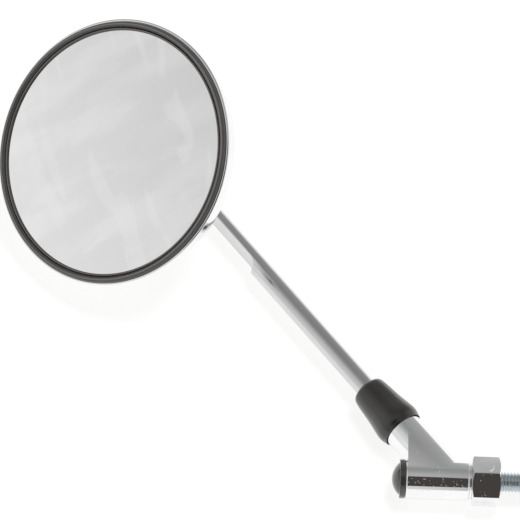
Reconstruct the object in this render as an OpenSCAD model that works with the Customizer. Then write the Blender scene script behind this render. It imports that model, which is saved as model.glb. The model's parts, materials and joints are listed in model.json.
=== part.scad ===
/* [Mounting stud] */
// Outside diameter of the exposed thread
stud_d = 8; // [6:0.5:9]
// Length of thread that stands out of the nut
stud_reach = 18; // [10:1:30]
// Chamfer on the tip of the stud
stud_chamfer = 1; // [0.5:0.1:2]
// How much smaller the thread is drawn inside the nut
thread_sink = 0.8; // [0.4:0.1:1.2]
// Diameter of the socket head inside the barrel
bolt_head_d = 11.6; // [11:0.1:12.2]
// Height of the socket head
bolt_head_h = 5.5; // [4:0.5:7]
// Width across the flats of the hexagon key
bolt_key_af = 5; // [4:1:6]
// Depth of the key's hole
bolt_key_depth = 3; // [2:0.5:4]

/* [Nut and washers] */
// Width across the flats of the big nut
nut_af = 17; // [15:1:19]
// Height of the big nut
nut_h = 11; // [8:0.1:14]
// Turn of the nut's corners about the stud
nut_turn = 11; // [-30:1:30]
// Slope of the chamfer on the nuts' corners
nut_chamfer_angle = 25; // [20:1:35]
// Diameter of the washer between nut and barrel
washer_d = 14.4; // [13:0.1:15]
// Thickness of the washer between nut and barrel
washer_t = 0.9; // [0.7:0.1:2]
// Thickness of the washer under the disc springs
inner_washer_t = 1; // [0.6:0.1:1.5]
// Thickness of one disc spring
disc_t = 0.8; // [0.6:0.1:1]
// Height of the cone of one disc spring
disc_dish = 0.2; // [0.1:0.05:0.4]

/* [Joint] */
// Outside diameter of the barrel
barrel_d = 15.6; // [14.6:0.2:18]
// Length of the barrel along the stud
barrel_l = 24.6; // [22:0.1:30]
// Chamfer on the ends of the barrel and the neck
barrel_chamfer = 0.5; // [0.2:0.1:1]
// Wall of the plain bush in the barrel
bush_wall = 1.45; // [1:0.05:1.5]
// Room between the cap's spigot and the head of the pivot bolt
cap_room = 1; // [0.5:0.1:2]
// Distance from the nut's end of the barrel to the arm's axis
arm_inset = 8.1; // [6.5:0.1:9]
// Angle between the arm and the stud
arm_angle = 52; // [46:1:60]
// Diameter of the neck that takes the stem
neck_d = 15.4; // [14:0.2:15.6]
// Length of the neck from the stud's axis
neck_l = 33.5; // [30:0.5:36]
// Thickness of the web between neck and barrel
web_t = 15; // [12:0.2:15]
// Distance of the web's edge from the barrel's outer end
web_inset = 0.8; // [0.6:0.1:2]

/* [End cap] */
// Diameter of the cap's rim
cap_d = 15.2; // [15:0.1:18]
// Thickness of the cap's rim
cap_rim_t = 2.2; // [1:0.1:3]
// Width of the step between rim and dome
cap_step = 1.3; // [0.3:0.1:1.5]
// Height of the cap's dome
cap_dome_h = 2.9; // [2:0.1:6]
// Length of the cap's spigot
cap_spigot_l = 3; // [2:0.5:3.5]
// Wall of the cap
cap_wall = 1.2; // [0.8:0.1:1.6]

/* [Stem] */
// Diameter of the stem
stem_d = 8; // [7.6:0.1:8.2]
// Length of stem that is screwed into the neck
stem_grip = 20.5; // [14:0.5:20.5]
// Distance from the stud's axis to the ball stud's axis
head_reach = 181; // [165:1:220]
// Depth of the flat milled on the stem
flat_depth = 3; // [1:0.5:3.5]
// Distance from the stud's axis to the flat's lower end
flat_start = 126; // [100:1:140]
// Radius of the flat's run-out
flat_runout_r = 5; // [4:1:20]
// Width across the flats of the lock nut
lock_nut_af = 12; // [11.6:0.1:12.2]
// Height of the lock nut
lock_nut_h = 5; // [3:0.5:6]

/* [Dust boot] */
// Length of the boot
boot_l = 22.9; // [22:0.1:28]
// How far the boot's mouth hangs over the neck
boot_overlap = 5.5; // [3:0.5:8]
// Wall of the boot at its lip
boot_lip_t = 0.5; // [0.4:0.05:0.8]
// Largest diameter of the boot
boot_belly_d = 18.1; // [17.7:0.1:20]
// Diameter of the boot in the middle
boot_waist_d = 16; // [15.8:0.1:17]
// Diameter of the boot near its top
boot_top_d = 14.2; // [12:0.1:15]
// Play between the neck and the boot's mouth, all round
boot_play = 0.15; // [0.1:0.05:0.3]

/* [Knuckle] */
// Outside diameter of the knuckle block
knuckle_d = 13.6; // [12:0.2:14]
// Depth of the stem in the knuckle block
knuckle_grip = 15; // [10:1:20]
// Length of the knuckle block on each side of the ball stud
knuckle_half = 6; // [5:0.5:8]
// Diameter of the boss that carries the ball stud
knuckle_boss_d = 9.6; // [8:0.2:11]
// Diameter of the grub screw
grub_d = 5; // [4:1:6]

/* [Ball joint] */
// Diameter of the ball
ball_d = 13; // [12:0.5:13]
// Diameter of the ball stud's neck
ball_neck_d = 5; // [4:0.5:5]
// Distance from the stem's axis to the ball's centre
ball_offset = 18.4; // [18:0.1:22]
// Largest tilt of the head each way
tilt_limit = 18; // [12:1:18]
// Wall of the nylon ball seats
seat_wall = 1.75; // [1.2:0.05:2.5]
// Height of the front ball seat
seat_h = 6; // [5:0.5:7]
// Wall of the socket housing
housing_wall = 1.55; // [1.2:0.05:2]
// Radius of the socket housing's flange
flange_r = 16; // [15:0.5:17]
// Thickness of the flange and of the spring cover
flange_t = 1.5; // [1:0.1:2]
// Height of the seat spring between front seat and cover
seat_spring_h = 3.6; // [2:0.2:5]
// Thickness of the seat spring
seat_spring_t = 0.8; // [0.5:0.1:1.2]
// Number of cover screws
screw_count = 3; // [3:1:5]
// Diameter of the cover screws
screw_d = 3; // [2.5:0.5:3]

/* [Head] */
// Turn of the head about the stem
head_turn = 50; // [20:0.1:70]
// Distance from the ball's centre to the plane of the rim
ball_to_rim = 27.8; // [26:0.2:34]
// Outside diameter of the bowl at its rim
bowl_d = 105; // [90:0.5:130]
// Depth of the bowl
bowl_depth = 26; // [24:0.2:27.4]
// Fullness of the bowl's outline, where 2 is an ellipse
bowl_fullness = 2.5; // [2.1:0.1:3]
// Thickness of the bowl's sheet
sheet_t = 0.8; // [0.6:0.1:1.2]
// Radius of the rolled bead on the rim
bead_r = 0.8; // [0.5:0.1:1.2]
// Radius of the flat land on the bowl's back
land_r = 17.5; // [17:0.5:24]

/* [Glass] */
// Width of the rubber bead round the glass
gasket_bead = 3.6; // [2.4:0.1:5]
// How far the gasket holds the glass beyond its own opening
glass_hold = 1.6; // [1:0.1:2.4]
// Thickness of the glass
glass_t = 2; // [1.5:0.1:3]
// Radius of the glass's convex face
glass_dome = 1250; // [600:50:2000]
// Thickness of the pad behind the glass
pad_t = 1; // [0.5:0.1:2]
// Thickness of the gasket's rear lip
gasket_lip = 1.5; // [1:0.1:3]

/* [Hidden] */
$fn = 96;

// clearances
running_gap = 0.06;
seat_gap = 0.02;
free_gap = 0.4;
washer_gap = 0.2;
cut = 1;

// stud, counted along +X from the nut's outer face
shank_ease = 0.1;
shank_d = stud_d - shank_ease;
core_d = stud_d - thread_sink;
barrel_right = -nut_h - washer_t;
barrel_left = barrel_right - barrel_l;
disc_stack = 2 * (disc_t + disc_dish);
head_end = barrel_left + cap_spigot_l + cap_room;
head_seat = head_end + bolt_head_h;
bush_left = head_seat + disc_stack + inner_washer_t;
bush_l = barrel_right - bush_left;
counterbore_d = bolt_head_d + 2 * free_gap;
bush_bore_d = shank_d + 2 * running_gap;
bush_d = bush_bore_d + 2 * bush_wall;

// arm, counted from the stud's axis
arm_x = barrel_right - arm_inset;
stem_bore_d = stem_d + 2 * running_gap;
stem_foot = neck_l - stem_grip;
stem_foot_room = 0.5;
knuckle_foot = head_reach - knuckle_half - knuckle_grip;
stem_end = knuckle_foot + knuckle_grip;
rod_chamfer = 0.6;
boot_foot = neck_l - boot_overlap;
boot_mouth_d = neck_d + 2 * boot_play;
boot_lip_d = boot_mouth_d + 2 * boot_lip_t;
boot_pocket = boot_overlap + lock_nut_h + free_gap;

// ball joint, counted from the ball's centre, with +Z out of the glass
ball_r = ball_d / 2;
seat_in_r = ball_r + running_gap;
seat_out_r = seat_in_r + seat_wall;
socket_r = seat_out_r + running_gap;
housing_r = socket_r + housing_wall;
both_tilts = acos(cos(tilt_limit) * cos(tilt_limit));
neck_view = asin(ball_neck_d / 2 / socket_r);
tilt_room = 4;
mouth_angle = neck_view + both_tilts + tilt_room;
rear_seat_edge = 0.6;
front_seat_foot = seat_out_r * sin(tilt_limit) + free_gap;
front_seat_top = front_seat_foot + seat_h;
cover_foot = front_seat_top + seat_spring_h;
boss_top = ball_offset - housing_r - free_gap - washer_gap;
land_in = ball_to_rim - bowl_depth + sheet_t;
screw_ring = (housing_r + flange_r) / 2;
screw_head_d = 5.4;
screw_head_h = 1.8;
screw_slot = 0.8;

// rim, counted back from the plane of the rim
bowl_r = bowl_d / 2;
bead_back = 0.15;
gasket_out_r = bowl_r - sheet_t - seat_gap;
gasket_mid_r = bowl_r - sheet_t / 2 + 0.1 - gasket_bead / 2;
sight_r = gasket_mid_r - gasket_bead / 2;
glass_r = sight_r + glass_hold;
glass_edge = 0.3;
pad_foot = glass_edge + glass_t;
gasket_foot = pad_foot + pad_t;
gasket_back = gasket_foot + gasket_lip;

// Curve through a list of points, with some steps between each two
function pass(a, b, c, d, t) =
    0.5 * (2 * b + (c - a) * t + (2 * a - 5 * b + 4 * c - d) * t * t
    + (3 * b - 3 * c + d - a) * t * t * t);
function smooth(p, steps) = [
    for (i = [0 : len(p) - 2], k = [0 : steps - 1])
        pass(p[max(i - 1, 0)], p[i], p[i + 1], p[min(i + 2, len(p) - 1)], k / steps),
    p[len(p) - 1]];

// Points of the bowl's outline from the rim to the land, as radius and depth
function bowl_point(r, depth, a) = [
    r * pow(cos(a), 2 / bowl_fullness),
    depth * pow(sin(a), 2 / bowl_fullness)];
function land_angle(r) = acos(pow(land_r / r, bowl_fullness / 2));
function bowl_line(r, depth, steps) = let (end = land_angle(r), flat = bowl_point(r, 1, end)[1])
    [for (i = [0 : steps]) bowl_point(r, depth / flat, end * i / steps)];

// Radius inside the bowl at a depth behind the rim
function bowl_inside(w) = let (flat = bowl_point(1, 1, land_angle(bowl_r - sheet_t))[1])
    (bowl_r - sheet_t) * pow(1 - pow(w * flat / (bowl_depth - sheet_t), bowl_fullness), 1 / bowl_fullness);

// Height of the glass's face above its edge
function dome(r) = sqrt(glass_dome * glass_dome - r * r) - sqrt(glass_dome * glass_dome - glass_r * glass_r);

module along_stud(x) {
    translate([x, 0, 0]) rotate([0, 90, 0]) children();
}

// +Z runs along the arm to the head, +Y is up, +X is square to both
module along_arm(z) {
    translate([arm_x, 0, 0]) rotate([90, 0, 270 - arm_angle]) translate([0, 0, z]) children();
}

// Origin at the ball's centre, +Z out of the glass
module at_head(z) {
    along_arm(head_reach) rotate([0, 0, head_turn]) translate([ball_offset, 0, 0])
        rotate([0, 90, 0]) translate([0, 0, z]) children();
}

module ring(out_d, in_d, h) {
    difference() {
        cylinder(h = h, d = out_d);
        translate([0, 0, -cut]) cylinder(h = h + 2 * cut, d = in_d);
    }
}

// Rod with a chamfer at each end
module turned_rod(d, h, foot, top) {
    rotate_extrude() polygon([[0, 0], [d / 2 - foot, 0], [d / 2, foot], [d / 2, h - top],
        [d / 2 - top, h], [0, h]]);
}

// Hexagon nut with its corners turned off at both ends
module nut_blank(af, h, bore_d) {
    corner_r = af / 2 / cos(30);
    face_r = af / 2 * 0.98;
    drop = (corner_r + cut - face_r) * tan(nut_chamfer_angle);
    difference() {
        intersection() {
            cylinder(h = h, r = corner_r, $fn = 6);
            rotate_extrude() polygon([[0, 0], [face_r, 0], [corner_r + cut, drop],
                [corner_r + cut, h - drop], [face_r, h], [0, h]]);
        }
        translate([0, 0, -cut]) cylinder(h = h + 2 * cut, d = bore_d);
    }
}

module pivot_bolt() {
    color([0.72, 0.72, 0.70]) difference() {
        union() {
            along_stud(head_end) turned_rod(bolt_head_d, bolt_head_h, rod_chamfer, 0.01);
            along_stud(head_seat) cylinder(h = barrel_right - head_seat, d = shank_d);
            along_stud(barrel_right) cylinder(h = -barrel_right, d = core_d);
            along_stud(0) turned_rod(stud_d, stud_reach, 0.01, stud_chamfer);
        }
        along_stud(head_end - cut) cylinder(h = bolt_key_depth + cut, d = bolt_key_af / cos(30), $fn = 6);
    }
}

module hex_nut() {
    color([0.80, 0.80, 0.82]) along_stud(-nut_h) rotate([0, 0, nut_turn])
        nut_blank(nut_af, nut_h, core_d + 2 * seat_gap);
}

module thrust_washer() {
    color([0.60, 0.60, 0.60]) along_stud(barrel_right) ring(washer_d, stud_d + 2 * washer_gap, washer_t);
}

module bolt_washer() {
    color([0.60, 0.60, 0.60]) along_stud(bush_left - inner_washer_t)
        ring(bolt_head_d, stud_d + 2 * washer_gap, inner_washer_t);
}

module disc_spring() {
    in_r = stud_d / 2 + washer_gap;
    out_r = bolt_head_d / 2;
    rotate_extrude() polygon([[in_r, disc_dish], [out_r, 0], [out_r, disc_t], [in_r, disc_t + disc_dish]]);
}

module disc_springs() {
    color([0.45, 0.45, 0.48]) {
        along_stud(head_seat) disc_spring();
        along_stud(head_seat + disc_stack) mirror([0, 0, 1]) disc_spring();
    }
}

module pivot_bush() {
    color([0.70, 0.55, 0.30]) along_stud(bush_left) ring(bush_d, bush_bore_d, bush_l);
}

// Web in the arm's plane, nearly as thick as the barrel
module web() {
    translate([0, 0, -web_t / 2]) linear_extrude(height = web_t) intersection() {
        translate([barrel_left + web_inset, 0]) square([barrel_l - web_inset, neck_l]);
        translate([arm_x, 0]) rotate(180 - arm_angle) square([neck_l - lock_nut_h, barrel_l]);
    }
}

module joint_body() {
    color([0.78, 0.78, 0.80]) difference() {
        union() {
            along_stud(barrel_left) turned_rod(barrel_d, barrel_l, barrel_chamfer, barrel_chamfer);
            along_arm(0) turned_rod(neck_d, neck_l, barrel_chamfer, barrel_chamfer);
            web();
        }
        along_stud(bush_left - cut) cylinder(h = bush_l + 2 * cut, d = bush_d + 2 * seat_gap);
        along_stud(barrel_left - cut) cylinder(h = bush_left - barrel_left + cut, d = counterbore_d);
        along_arm(stem_foot - stem_foot_room) cylinder(h = stem_grip + stem_foot_room + cut, d = stem_bore_d);
    }
}

module end_cap() {
    dome_r = cap_d / 2 - cap_step;
    round_r = (dome_r * dome_r + cap_dome_h * cap_dome_h) / (2 * cap_dome_h);
    spigot_r = counterbore_d / 2 - seat_gap;
    round_a = asin(dome_r / round_r);
    steps = 10;
    color([0.10, 0.10, 0.11]) along_stud(barrel_left) mirror([0, 0, 1]) rotate_extrude() polygon(concat(
        [[spigot_r - cap_wall, cap_rim_t / 2], [spigot_r - cap_wall, -cap_spigot_l],
         [spigot_r, -cap_spigot_l], [spigot_r, 0], [cap_d / 2, 0], [cap_d / 2, cap_rim_t]],
        [for (i = [0 : steps]) let (a = round_a * (1 - i / steps))
            [round_r * sin(a), cap_rim_t + cap_dome_h - round_r + round_r * cos(a)]],
        [[0, cap_rim_t / 2]]));
}

module stem_rod() {
    flat_x = stem_d / 2 - flat_depth;
    color([0.80, 0.80, 0.82]) along_arm(0) difference() {
        translate([0, 0, stem_foot]) turned_rod(stem_d, stem_end - stem_foot, rod_chamfer, rod_chamfer);
        translate([flat_x, -stem_d, flat_start]) cube([stem_d, 2 * stem_d, stem_end - flat_start + cut]);
        translate([flat_x + flat_runout_r, stem_d, flat_start]) rotate([90, 0, 0])
            cylinder(h = 2 * stem_d, r = flat_runout_r);
    }
}

module stem_lock_nut() {
    color([0.66, 0.66, 0.64]) along_arm(neck_l) nut_blank(lock_nut_af, lock_nut_h, stem_bore_d);
}

module dust_boot() {
    grip_r = stem_d / 2 + seat_gap;
    lip_round = 0.6;
    lip_ease = 0.1;
    belly_z = 4;
    waist_z = 11.5;
    top_room = 3.2;
    shoulder_room = 0.9;
    shoulder_in = 0.6;
    end_in = 1.7;
    pocket_cone = 4;
    pocket_in = 0.3;
    top_r = boot_top_d / 2;
    outline = smooth([[boot_lip_d / 2 - lip_ease, 0], [boot_lip_d / 2 + lip_ease, lip_round],
        [boot_belly_d / 2, belly_z], [boot_waist_d / 2, waist_z], [top_r, boot_l - top_room],
        [top_r - shoulder_in, boot_l - shoulder_room], [top_r - end_in, boot_l]], 6);
    color([0.13, 0.13, 0.14]) along_arm(boot_foot) rotate_extrude() polygon(concat(
        [[grip_r, boot_l], [grip_r, boot_pocket + pocket_cone], [boot_mouth_d / 2 - pocket_in, boot_pocket],
         [boot_mouth_d / 2, boot_overlap + free_gap], [boot_mouth_d / 2, lip_round],
         [boot_mouth_d / 2 + lip_ease, 0]],
        outline));
}

module knuckle_block() {
    grub_z = knuckle_foot + knuckle_grip / 2;
    top = head_reach + knuckle_half - knuckle_foot;
    color([0.70, 0.70, 0.70]) difference() {
        union() {
            along_arm(knuckle_foot) turned_rod(knuckle_d, top, 2, 2);
            along_arm(head_reach) rotate([0, 0, head_turn]) rotate([0, 90, 0])
                turned_rod(knuckle_boss_d, boss_top, 0.01, 0.4);
        }
        along_arm(knuckle_foot - cut) cylinder(h = knuckle_grip + running_gap + cut, d = stem_bore_d);
        along_arm(head_reach) rotate([0, 0, head_turn]) rotate([0, 90, 0])
            translate([0, 0, -knuckle_half / 2]) cylinder(h = ball_offset, d = ball_neck_d + 2 * seat_gap);
        along_arm(grub_z) rotate([0, 90, 0]) cylinder(h = knuckle_d, d = grub_d + 2 * seat_gap);
    }
}

module grub_screw() {
    flat_x = stem_d / 2 - flat_depth;
    grub_z = knuckle_foot + knuckle_grip / 2;
    grub_l = knuckle_d / 2 - flat_x - 0.3;
    color([0.25, 0.25, 0.26]) along_arm(grub_z) translate([flat_x, 0, 0]) rotate([0, 90, 0]) difference() {
        turned_rod(grub_d, grub_l, 0.5, 0.3);
        translate([0, 0, grub_l - 2]) cylinder(h = 2 + cut, d = grub_d / 2 / cos(30), $fn = 6);
    }
}

module ball_stud() {
    stud_foot = -knuckle_half / 2 - ball_offset;
    color([0.72, 0.72, 0.72]) at_head(0) union() {
        sphere(r = ball_r);
        translate([0, 0, stud_foot]) cylinder(h = -stud_foot, d = ball_neck_d);
    }
}

// Cone from the ball's centre that opens to the back
module rear_cone(angle) {
    reach = housing_r + cut;
    translate([0, 0, -reach]) cylinder(h = reach, r1 = reach * tan(angle), r2 = 0);
}

module rear_ball_seat() {
    color([0.92, 0.92, 0.88]) at_head(0) difference() {
        sphere(r = seat_out_r);
        sphere(r = seat_in_r);
        rear_cone(mouth_angle - 1);
        translate([0, 0, -rear_seat_edge]) cylinder(h = 2 * seat_out_r, r = 2 * seat_out_r);
    }
}

module front_ball_seat() {
    color([0.92, 0.92, 0.88]) at_head(0) difference() {
        translate([0, 0, front_seat_foot]) cylinder(h = seat_h, r = seat_out_r);
        sphere(r = seat_in_r);
    }
}

module screw_places() {
    for (i = [0 : screw_count - 1]) rotate([0, 0, 360 * i / screw_count]) translate([screw_ring, 0, 0]) children();
}

module socket_housing() {
    color([0.78, 0.78, 0.80]) at_head(0) difference() {
        union() {
            sphere(r = housing_r);
            cylinder(h = cover_foot, r = housing_r);
            translate([0, 0, land_in]) cylinder(h = flange_t, r = flange_r);
        }
        sphere(r = socket_r);
        cylinder(h = cover_foot + cut, r = socket_r);
        rear_cone(mouth_angle);
        translate([0, 0, land_in - cut]) screw_places() cylinder(h = flange_t + 2 * cut, d = screw_d);
    }
}

module seat_spring() {
    out_r = seat_out_r - free_gap;
    in_r = out_r / 2;
    color([0.50, 0.50, 0.52]) at_head(front_seat_top) rotate_extrude() polygon([[out_r, 0],
        [out_r, seat_spring_t], [in_r, seat_spring_h], [in_r, seat_spring_h - seat_spring_t]]);
}

module spring_cover() {
    color([0.66, 0.66, 0.64]) at_head(cover_foot) difference() {
        cylinder(h = flange_t, r = flange_r);
        translate([0, 0, -cut]) screw_places() cylinder(h = flange_t + 2 * cut, d = screw_d + washer_gap);
    }
}

module cover_screws() {
    screw_l = cover_foot + flange_t - land_in - washer_gap;
    color([0.72, 0.72, 0.70]) at_head(cover_foot + flange_t) screw_places() difference() {
        union() {
            turned_rod(screw_head_d, screw_head_h, 0.01, 0.5);
            translate([0, 0, -screw_l]) cylinder(h = screw_l + 0.1, d = screw_d - 2 * seat_gap);
        }
        translate([-screw_head_d, -screw_slot / 2, screw_head_h / 2])
            cube([2 * screw_head_d, screw_slot, screw_head_h]);
    }
}

module head_shell() {
    steps = 22;
    outer = bowl_line(bowl_r, bowl_depth, steps);
    inner = bowl_line(bowl_r - sheet_t, bowl_depth - sheet_t, steps);
    hole_r = housing_r + seat_gap;
    rim_back = bead_back + bead_r;
    color([0.82, 0.82, 0.84]) at_head(ball_to_rim) mirror([0, 0, 1]) union() {
        rotate_extrude() polygon(concat(
            [[bowl_r - sheet_t, rim_back], [bowl_r, rim_back]],
            [for (p = outer) if (p[1] > rim_back) p],
            [[hole_r, bowl_depth], [hole_r, bowl_depth - sheet_t]],
            [for (i = [steps : -1 : 0]) if (inner[i][1] > rim_back) inner[i]]));
        translate([0, 0, rim_back]) rotate_extrude() translate([bowl_r, 0]) circle(r = bead_r, $fn = 32);
    }
}

module rim_gasket() {
    bead = gasket_bead / 2;
    back_r = bowl_inside(gasket_back) - seat_gap;
    lip_room = dome(sight_r) + seat_gap;
    color([0.12, 0.12, 0.13]) at_head(ball_to_rim) mirror([0, 0, 1]) rotate_extrude() difference() {
        union() {
            intersection() {
                translate([gasket_mid_r, bead_back]) circle(r = bead, $fn = 48);
                translate([0, bead_back - 2 * bead]) square([2 * gasket_mid_r, 2 * bead]);
            }
            polygon([[sight_r, bead_back], [gasket_out_r, bead_back], [back_r, gasket_back], [sight_r, gasket_back]]);
        }
        translate([0, glass_edge - lip_room]) square([glass_r + running_gap, gasket_foot - glass_edge + lip_room]);
    }
}

module mirror_glass() {
    steps = 8;
    r_at = [for (i = [0 : steps]) glass_r * i / steps];
    color([0.80, 0.83, 0.86]) at_head(ball_to_rim - pad_foot) rotate_extrude() polygon(concat(
        [for (i = [0 : steps]) [r_at[i], dome(r_at[i])]],
        [for (i = [steps : -1 : 0]) [r_at[i], dome(r_at[i]) + glass_t]]));
}

module glass_backing() {
    color([0.20, 0.20, 0.20]) at_head(ball_to_rim - gasket_foot) cylinder(h = pad_t, r = glass_r);
}

pivot_bolt();
hex_nut();
thrust_washer();
bolt_washer();
disc_springs();
pivot_bush();
joint_body();
end_cap();
stem_rod();
stem_lock_nut();
dust_boot();
knuckle_block();
ball_stud();
grub_screw();
rear_ball_seat();
front_ball_seat();
socket_housing();
seat_spring();
spring_cover();
cover_screws();
head_shell();
rim_gasket();
mirror_glass();
glass_backing();
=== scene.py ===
# %% [markdown]
# # A round mirror for a motorcycle
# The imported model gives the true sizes, the joints and the places of all the pieces. This lesson makes the
# surfaces that the eye sees: polished metal, soft rubber, moulded plastic, a thread and a silvered glass.

# %% Load the frame
import json
import math

import bmesh
import bpy
from mathutils import Matrix, Vector

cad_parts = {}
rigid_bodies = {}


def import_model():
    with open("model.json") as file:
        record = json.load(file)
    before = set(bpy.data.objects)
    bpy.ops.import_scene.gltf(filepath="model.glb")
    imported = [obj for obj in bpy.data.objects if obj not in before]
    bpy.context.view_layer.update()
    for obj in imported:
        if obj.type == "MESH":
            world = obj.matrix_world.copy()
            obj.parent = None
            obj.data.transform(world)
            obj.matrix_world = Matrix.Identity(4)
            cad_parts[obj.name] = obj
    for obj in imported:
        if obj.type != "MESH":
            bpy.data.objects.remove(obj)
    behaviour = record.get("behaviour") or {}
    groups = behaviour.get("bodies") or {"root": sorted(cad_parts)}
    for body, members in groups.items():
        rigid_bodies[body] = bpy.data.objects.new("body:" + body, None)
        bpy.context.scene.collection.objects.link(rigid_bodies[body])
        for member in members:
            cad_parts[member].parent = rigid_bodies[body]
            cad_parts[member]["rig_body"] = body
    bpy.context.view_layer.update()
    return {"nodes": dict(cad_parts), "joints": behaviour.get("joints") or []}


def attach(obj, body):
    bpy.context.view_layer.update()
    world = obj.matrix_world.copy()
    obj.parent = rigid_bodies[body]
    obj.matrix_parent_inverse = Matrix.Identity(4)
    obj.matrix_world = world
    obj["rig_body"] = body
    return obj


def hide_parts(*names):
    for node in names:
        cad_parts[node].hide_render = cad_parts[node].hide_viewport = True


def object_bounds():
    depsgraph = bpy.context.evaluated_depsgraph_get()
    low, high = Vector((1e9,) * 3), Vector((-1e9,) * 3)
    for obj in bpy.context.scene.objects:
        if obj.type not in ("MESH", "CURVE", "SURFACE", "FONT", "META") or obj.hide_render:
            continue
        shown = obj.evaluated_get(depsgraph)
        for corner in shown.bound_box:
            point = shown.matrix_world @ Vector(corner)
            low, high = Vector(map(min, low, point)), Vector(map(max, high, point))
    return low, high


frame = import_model()
MM = 0.001

# %% [markdown]
# ## Three local frames
# Nearly every piece is turned about one of three axes: the stud, the stem, or the axis of the head. The joints
# in the frame say where those axes are, so each piece is drawn upright about its own Z axis and then placed.

# %% Local frames from the joints
joints = {joint["name"]: joint for joint in frame["joints"]}


def local_frame(joint_name, side):
    """Matrix whose Z is the joint's axis and whose X lies as near to side as it can"""
    z_axis = Vector(joints[joint_name]["axis"]).normalized()
    y_axis = z_axis.cross(Vector(side)).normalized()
    x_axis = y_axis.cross(z_axis)
    place = Matrix((x_axis, y_axis, z_axis)).transposed().to_4x4()
    place.translation = Vector(joints[joint_name]["pos_m"])
    return place


up = Vector((0, 0, 1))
stem_axis = Vector(joints["stem_turn"]["axis"]).normalized()
ON_STUD = local_frame("arm_swing", -up)
ON_STUD.translation = Vector((0, 0, 0))
ON_STEM = local_frame("stem_turn", up.cross(stem_axis))
ON_HEAD = local_frame("head_spin", -stem_axis)


def span(node, place):
    """Lowest and highest corner of a solid in a local frame, in millimetres"""
    back = place.inverted()
    points = [back @ vertex.co / MM for vertex in frame["nodes"][node].data.vertices]
    low = Vector([min(point[i] for point in points) for i in range(3)])
    high = Vector([max(point[i] for point in points) for i in range(3)])
    return low, high


print("head faces", [round(part, 3) for part in ON_HEAD.col[2][:3]])

# %% [markdown]
# ## Helpers for turned pieces
# A turned piece is a short outline spun about an axis, as on a lathe. Real edges are never quite sharp, so a
# helper rounds the corners of the outline first, and the round edge then catches a line of light.

# %% Outline helpers
SPIN_STEPS = 128
CORNER_SHARE = 0.45
MERGE = 0.002


def rounded(outline, radius, parts=4):
    """Outline with its inner corners replaced by short arcs of about that radius"""
    soft = [Vector(outline[0])]
    for before, corner, after in zip(outline, outline[1:], outline[2:]):
        corner = Vector(corner)
        to_before = Vector(before) - corner
        to_after = Vector(after) - corner
        reach = min(radius, to_before.length * CORNER_SHARE, to_after.length * CORNER_SHARE)
        start = corner + to_before.normalized() * reach
        end = corner + to_after.normalized() * reach
        for i in range(parts + 1):
            t = i / parts
            soft.append(start * (1 - t) ** 2 + corner * 2 * t * (1 - t) + end * t ** 2)
    soft.append(Vector(outline[-1]))
    return soft


def arc(centre, radius, start, end, parts):
    """Points on a circle of the outline plane, angles in degrees"""
    angles = [math.radians(start + (end - start) * i / parts) for i in range(parts + 1)]
    return [Vector((centre[0] + radius * math.cos(a), centre[1] + radius * math.sin(a))) for a in angles]


def turned(outline, steps=SPIN_STEPS):
    """Mesh spun about Z from points of radius and height in millimetres"""
    bm = bmesh.new()
    verts = [bm.verts.new((point[0] * MM, 0, point[1] * MM)) for point in outline]
    edges = [bm.edges.new(pair) for pair in zip(verts, verts[1:])]
    bmesh.ops.spin(bm, geom=verts + edges, cent=(0, 0, 0), axis=(0, 0, 1), dvec=(0, 0, 0),
                   angle=2 * math.pi, steps=steps, use_merge=True, use_duplicate=False)
    bmesh.ops.remove_doubles(bm, verts=bm.verts, dist=MERGE * MM)
    bmesh.ops.recalc_face_normals(bm, faces=bm.faces)
    return bm


# %% [markdown]
# ## Helpers for finished pieces
# Cuts and unions are made with the exact boolean on helpers that are deleted at once, because a baked mesh is easy
# to measure. Boxes, bars and flat cuts come up several times, so each has a helper too.

# %% Piece helpers
SHARP_ANGLE = math.radians(32)
pieces = {}


def loose_object(bm, name):
    """Object from a bmesh, linked to the scene and not yet finished"""
    mesh = bpy.data.meshes.new(name)
    bm.to_mesh(mesh)
    bm.free()
    thing = bpy.data.objects.new(name, mesh)
    bpy.context.scene.collection.objects.link(thing)
    return thing


def joined(base, other, operation):
    """Bake a boolean of two bmeshes into a new bmesh"""
    target = loose_object(base, "boolean_target")
    helper = loose_object(other, "boolean_helper")
    modifier = target.modifiers.new("boolean", "BOOLEAN")
    modifier.operation = operation
    modifier.solver = "EXACT"
    modifier.object = helper
    bpy.context.view_layer.update()
    result = bmesh.new()
    result.from_object(target, bpy.context.evaluated_depsgraph_get())
    for thing in (target, helper):
        mesh = thing.data
        bpy.data.objects.remove(thing)
        bpy.data.meshes.remove(mesh)
    bmesh.ops.remove_doubles(result, verts=result.verts, dist=MERGE * MM)
    bmesh.ops.dissolve_degenerate(result, edges=result.edges, dist=MERGE * MM)
    return result


def block(size, centre):
    """Box from its size and its middle in millimetres"""
    bm = bmesh.new()
    made = bmesh.ops.create_cube(bm, size=1)["verts"]
    bmesh.ops.scale(bm, verts=made, vec=[part * MM for part in size])
    bmesh.ops.translate(bm, verts=made, vec=[part * MM for part in centre])
    return bm


def bar(sides, radius, length):
    """Round or many-sided bar about Z, with its middle at the origin"""
    bm = bmesh.new()
    bmesh.ops.create_cone(bm, cap_ends=True, segments=sides, radius1=radius * MM, radius2=radius * MM,
                          depth=length * MM)
    return bm


def cut_off(bm, point, normal):
    """Take away what lies beyond a plane and close the cut"""
    cut = bmesh.ops.bisect_plane(bm, geom=bm.verts[:] + bm.edges[:] + bm.faces[:], plane_co=point,
                                 plane_no=normal, clear_outer=True)
    rim = [item for item in cut["geom_cut"] if isinstance(item, bmesh.types.BMEdge)]
    bmesh.ops.contextual_create(bm, geom=rim)


# %% [markdown]
# ## Finishing a piece
# Each mesh is put in its place, shaded smooth up to an angle, set on the body that moves it and made to stand for
# its solid. The object has no transform of its own, so that the joints alone decide where it goes.

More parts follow.
